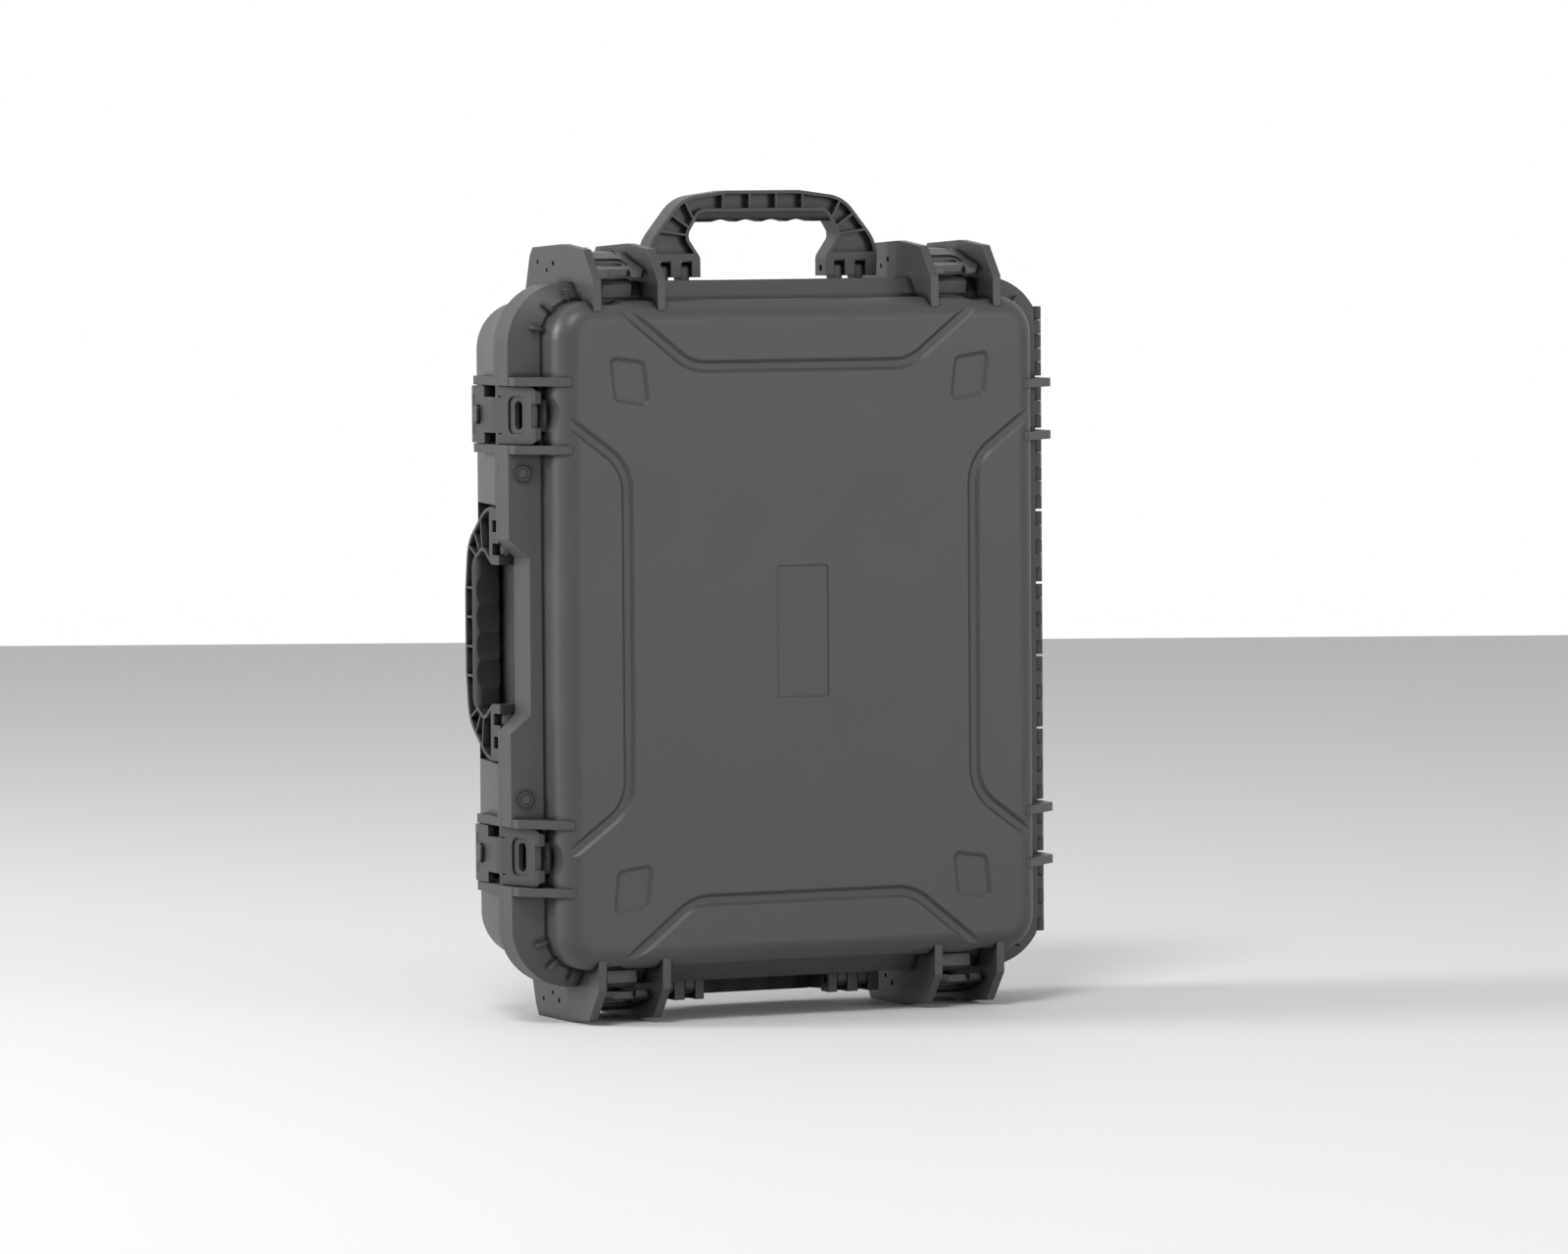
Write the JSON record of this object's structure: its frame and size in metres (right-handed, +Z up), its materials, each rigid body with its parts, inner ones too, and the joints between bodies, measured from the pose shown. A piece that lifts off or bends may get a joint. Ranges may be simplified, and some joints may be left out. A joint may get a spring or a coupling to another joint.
{
  "type": "laptop hard case",
  "caption": "Upright moulded hard case for a laptop with a side-hinged ribbed lid, rocking latches between guard fins, folding handles and a foam lining.",
  "frame": {"origin": "middle of the case's footprint, on the floor it stands on, with the fins' feet at Z = 0", "axes": "+Z up the standing case, -Y out of the lid's face, +Y towards the back of the base, +X towards the hinge"},
  "size_m": [0.4541, 0.156, 0.6188],
  "materials": {
    "shell": "satin moulded, fine grain",
    "hinge": "satin moulded",
    "latch": "satin moulded",
    "button": "satin moulded",
    "handle": "satin moulded",
    "grip": "soft matt",
    "vent": "satin moulded",
    "seal": "matt",
    "foam": "open-cell foam, matt",
    "pin": "turned"
  },
  "bodies": {
    "base": {"base_shell": "shell", "base_guard_fins": "shell", "base_hinge_knuckles": "hinge", "hinge_pins": "pin", "base_foam": "foam", "latch_pivot_pins": "pin", "latch_catch_pins": "pin", "handle_top_pins": "pin", "handle_bottom_pins": "pin", "handle_side_pins": "pin"},
    "lid": {"lid_shell": "shell", "lid_guard_fins": "shell", "lid_hinge_knuckles": "hinge", "lid_gasket": "seal", "lid_foam": "foam", "vent_upper": "vent", "vent_lower": "vent"},
    "latch_top_left": {"latch_top_left": "latch"},
    "button_top_left": {"latch_button_top_left": "button"},
    "latch_top_right": {"latch_top_right": "latch"},
    "button_top_right": {"latch_button_top_right": "button"},
    "latch_bottom_left": {"latch_bottom_left": "latch"},
    "button_bottom_left": {"latch_button_bottom_left": "button"},
    "latch_bottom_right": {"latch_bottom_right": "latch"},
    "button_bottom_right": {"latch_button_bottom_right": "button"},
    "latch_side_upper": {"latch_side_upper": "latch"},
    "button_side_upper": {"latch_button_side_upper": "button"},
    "latch_side_lower": {"latch_side_lower": "latch"},
    "button_side_lower": {"latch_button_side_lower": "button"},
    "handle_top": {"handle_top_frame": "handle", "handle_top_grip": "grip"},
    "handle_bottom": {"handle_bottom_frame": "handle", "handle_bottom_grip": "grip"},
    "handle_side": {"handle_side_frame": "handle", "handle_side_grip": "grip"}
  },
  "joints": [
    {"name": "lid_hinge", "type": "hinge", "parent": "base", "child": "lid", "pos_m": [0.225, -0.018, 0.29], "axis": [0, 0, 1], "range_deg": [0, 180]},
    {"name": "latch_top_left_pivot", "type": "hinge", "parent": "base", "child": "latch_top_left", "pos_m": [-0.1384, -0.001, 0.5655], "axis": [-1, 0, 0], "range_deg": [0, 22]},
    {"name": "button_top_left_push", "type": "slide", "parent": "latch_top_left", "child": "button_top_left", "axis": [0, 0, -1], "range_m": [0, 0.002], "stiffness_N_per_m": 400},
    {"name": "latch_top_right_pivot", "type": "hinge", "parent": "base", "child": "latch_top_right", "pos_m": [0.1384, -0.001, 0.5655], "axis": [-1, 0, 0], "range_deg": [0, 22]},
    {"name": "button_top_right_push", "type": "slide", "parent": "latch_top_right", "child": "button_top_right", "axis": [0, 0, -1], "range_m": [0, 0.002], "stiffness_N_per_m": 400},
    {"name": "latch_bottom_left_pivot", "type": "hinge", "parent": "base", "child": "latch_bottom_left", "pos_m": [-0.1384, -0.001, 0.0145], "axis": [1, 0, 0], "range_deg": [0, 22]},
    {"name": "button_bottom_left_push", "type": "slide", "parent": "latch_bottom_left", "child": "button_bottom_left", "axis": [0, 0, 1], "range_m": [0, 0.002], "stiffness_N_per_m": 400},
    {"name": "latch_bottom_right_pivot", "type": "hinge", "parent": "base", "child": "latch_bottom_right", "pos_m": [0.1384, -0.001, 0.0145], "axis": [1, 0, 0], "range_deg": [0, 22]},
    {"name": "button_bottom_right_push", "type": "slide", "parent": "latch_bottom_right", "child": "button_bottom_right", "axis": [0, 0, 1], "range_m": [0, 0.002], "stiffness_N_per_m": 400},
    {"name": "latch_side_upper_pivot", "type": "hinge", "parent": "base", "child": "latch_side_upper", "pos_m": [-0.213, -0.001, 0.4538], "axis": [0, 0, -1], "range_deg": [0, 22]},
    {"name": "button_side_upper_push", "type": "slide", "parent": "latch_side_upper", "child": "button_side_upper", "axis": [1, 0, 0], "range_m": [0, 0.002], "stiffness_N_per_m": 400},
    {"name": "latch_side_lower_pivot", "type": "hinge", "parent": "base", "child": "latch_side_lower", "pos_m": [-0.213, -0.001, 0.1262], "axis": [0, 0, -1], "range_deg": [0, 22]},
    {"name": "button_side_lower_push", "type": "slide", "parent": "latch_side_lower", "child": "button_side_lower", "axis": [1, 0, 0], "range_m": [0, 0.002], "stiffness_N_per_m": 400},
    {"name": "handle_top_pivot", "type": "hinge", "parent": "base", "child": "handle_top", "pos_m": [0, -0.0025, 0.5598], "axis": [-1, 0, 0], "range_deg": [0, 90]},
    {"name": "handle_bottom_pivot", "type": "hinge", "parent": "base", "child": "handle_bottom", "pos_m": [0, -0.0025, 0.0202], "axis": [-1, 0, 0], "range_deg": [0, 90]},
    {"name": "handle_side_pivot", "type": "hinge", "parent": "base", "child": "handle_side", "pos_m": [-0.2066, -0.001, 0.29], "axis": [0, 0, 1], "range_deg": [0, 90]}
  ]
}
